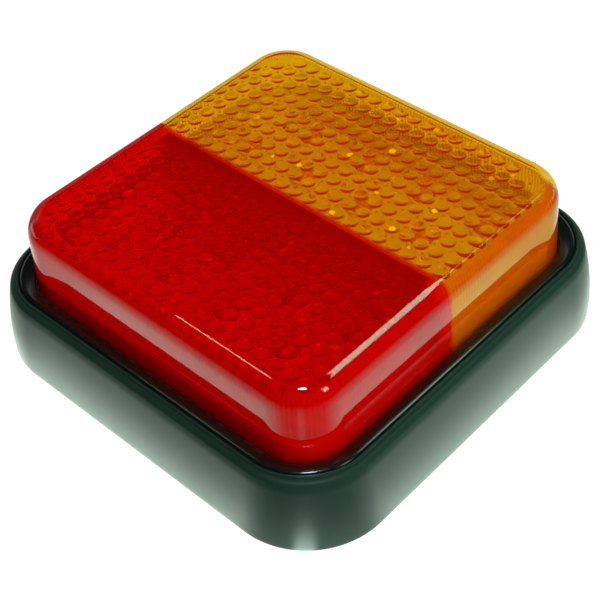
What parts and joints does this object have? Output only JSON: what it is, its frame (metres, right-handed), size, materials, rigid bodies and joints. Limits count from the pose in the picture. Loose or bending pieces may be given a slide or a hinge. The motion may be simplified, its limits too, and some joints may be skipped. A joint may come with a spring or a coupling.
{
  "type": "trailer tail light",
  "caption": "Square surface-mount trailer lamp with a red tail and stop half, an amber indicator half, dotted lens optics and a curved black skirt.",
  "frame": {"origin": "centre of the flat mounting face", "axes": "+Z out through the lens, -Y towards the red half, +Y towards the amber half and the cable"},
  "size_m": [0.107, 0.12, 0.0365],
  "materials": {
    "skirt_black": "satin",
    "housing_black": "matt moulded",
    "lens_red": "polished coloured acrylic",
    "lens_amber": "polished coloured acrylic",
    "seal_rubber": "matt",
    "divider_white": "semi gloss",
    "reflector_white": "semi gloss",
    "board_green": "solder mask",
    "led_red": "clear tinted epoxy",
    "led_amber": "clear tinted epoxy",
    "tinned_metal": "tinned",
    "component_black": "moulded epoxy",
    "capacitor_can": "satin",
    "screw_steel": "zinc plated",
    "foam_grey": "closed cell foam",
    "sheath_black": "extruded",
    "wire_brown": "extruded",
    "wire_red": "extruded",
    "wire_green": "extruded",
    "wire_white": "extruded",
    "clip_white": "moulded"
  },
  "bodies": {
    "housing": {"housing": "housing_black", "lens_seal": "seal_rubber", "light_divider": "divider_white", "reflector": "reflector_white", "circuit_board": "board_green", "red_leds": "led_red", "amber_leds": "led_amber", "led_leads": "tinned_metal", "solder_joints": "tinned_metal", "resistors": "component_black", "diodes": "component_black", "capacitor": "capacitor_can", "regulator": "component_black", "board_screws": "screw_steel", "mounting_pad": "foam_grey", "cable_sheath": "sheath_black", "wire_tail": "wire_brown", "wire_stop": "wire_red", "wire_indicator": "wire_green", "wire_earth": "wire_white", "cable_grommet": "seal_rubber", "cable_clip": "clip_white", "clip_screws": "screw_steel"},
    "lens": {"lens_red": "lens_red", "lens_amber": "lens_amber", "screw_washers": "seal_rubber"},
    "skirt": {"trim_skirt": "skirt_black"},
    "lens_screw_1": {"lens_screw_1": "screw_steel"},
    "lens_screw_2": {"lens_screw_2": "screw_steel"},
    "lens_screw_3": {"lens_screw_3": "screw_steel"},
    "lens_screw_4": {"lens_screw_4": "screw_steel"}
  },
  "joints": [
    {"name": "lens_lift", "type": "slide", "parent": "housing", "child": "lens", "axis": [0, 0, 1], "range_m": [0, 0.03]},
    {"name": "skirt_lift", "type": "slide", "parent": "lens", "child": "skirt", "axis": [0, 0, 1], "range_m": [0, 0.04]},
    {"name": "lens_screw_1_turn", "type": "hinge", "parent": "lens", "child": "lens_screw_1", "pos_m": [0.0474, -0.022, 0.0129], "axis": [0, 0, 1], "continuous": true},
    {"name": "lens_screw_2_turn", "type": "hinge", "parent": "lens", "child": "lens_screw_2", "pos_m": [-0.0474, -0.022, 0.0129], "axis": [0, 0, 1], "continuous": true},
    {"name": "lens_screw_3_turn", "type": "hinge", "parent": "lens", "child": "lens_screw_3", "pos_m": [0.0474, 0.022, 0.0129], "axis": [0, 0, 1], "continuous": true},
    {"name": "lens_screw_4_turn", "type": "hinge", "parent": "lens", "child": "lens_screw_4", "pos_m": [-0.0474, 0.022, 0.0129], "axis": [0, 0, 1], "continuous": true}
  ]
}
